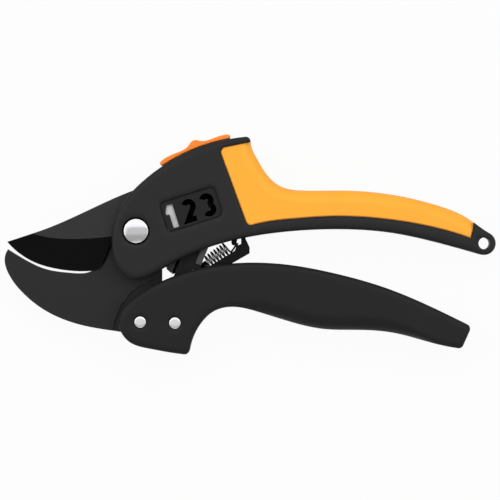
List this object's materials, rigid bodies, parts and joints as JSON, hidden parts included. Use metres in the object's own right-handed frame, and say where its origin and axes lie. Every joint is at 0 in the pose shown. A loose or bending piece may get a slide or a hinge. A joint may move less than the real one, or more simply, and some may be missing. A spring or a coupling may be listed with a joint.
{
  "type": "pruning shears",
  "caption": "Hand pruning shears with a curved bypass blade, a hooked jaw, a notched step lever with a return spring, a soft grip and a thumb lock.",
  "frame": {"origin": "On the pivot bolt's axis, on the plane of the rear cheeks that the shears lie on", "axes": "+X from the blade to the tail, +Y from the lower handle to the upper one, +Z from the rear side to the front side"},
  "size_m": [0.2074, 0.0926, 0.0202],
  "materials": {
    "housing": "fine-grained black moulded plastic",
    "handle": "fine-grained black moulded plastic",
    "grip": "smooth soft orange grip cover",
    "lock": "smooth deep orange moulded plastic",
    "window": "smooth black plate with cut-out step numbers",
    "indicator": "light grey moulded plastic",
    "spacer": "plain black plastic rings",
    "coated_steel": "dark low-friction coating on steel plate",
    "polished_steel": "polished steel",
    "bright_steel": "turned steel",
    "spring_steel": "dark drawn spring wire",
    "bush_brass": "turned brass"
  },
  "bodies": {
    "upper_body": {"rear_housing": "housing", "front_housing": "housing", "grip_cover": "grip", "housing_screws": "bright_steel", "pivot_bolt": "polished_steel", "pivot_nut": "bright_steel", "thrust_washer": "bright_steel", "notch_pin": "bright_steel", "cutting_blade": "coated_steel", "blade_dowel": "bright_steel", "return_spring": "spring_steel", "spring_lug": "housing", "spring_guard": "housing", "digit_window": "window"},
    "jaw": {"hook_jaw": "coated_steel", "pivot_bush": "bush_brass"},
    "handle": {"lower_handle": "handle", "jaw_rivet": "polished_steel", "link_rivet": "polished_steel", "jaw_rivet_spacers": "spacer", "link_rivet_spacers": "spacer"},
    "link": {"ratchet_link": "coated_steel", "link_bush": "bush_brass", "spring_hook_pin": "bright_steel"},
    "lock": {"lock_button": "lock", "lock_catch": "bright_steel"},
    "indicator": {"step_indicator": "indicator"}
  },
  "joints": [
    {"name": "jaw_turn", "type": "hinge", "parent": "upper_body", "child": "jaw", "pos_m": [0, 0, 0.008], "axis": [0, 0, 1], "range_deg": [-2, 28], "deforming": ["return_spring"]},
    {"name": "handle_turn", "type": "hinge", "parent": "jaw", "child": "handle", "pos_m": [0.0018, -0.0383, 0.008], "axis": [0, 0, 1], "range_deg": [-62, 6]},
    {"name": "link_turn", "type": "hinge", "parent": "handle", "child": "link", "pos_m": [0.0164, -0.0387, 0.01047], "axis": [0, 0, 1], "range_deg": [-6, 58]},
    {"name": "lock_slide", "type": "hinge", "parent": "upper_body", "child": "lock", "pos_m": [0.0531, -0.0358, 0.01], "axis": [0, 0, 1], "range_deg": [0, 3.8]},
    {"name": "indicator_slide", "type": "slide", "parent": "upper_body", "child": "indicator", "axis": [0.9532, 0.3024, 0], "range_m": [0, 0.0158]}
  ],
  "couplings": [
    {"joint": "handle_turn", "follows": "jaw_turn", "ratio": -2.165},
    {"joint": "link_turn", "follows": "jaw_turn", "ratio": 2.01}
  ]
}
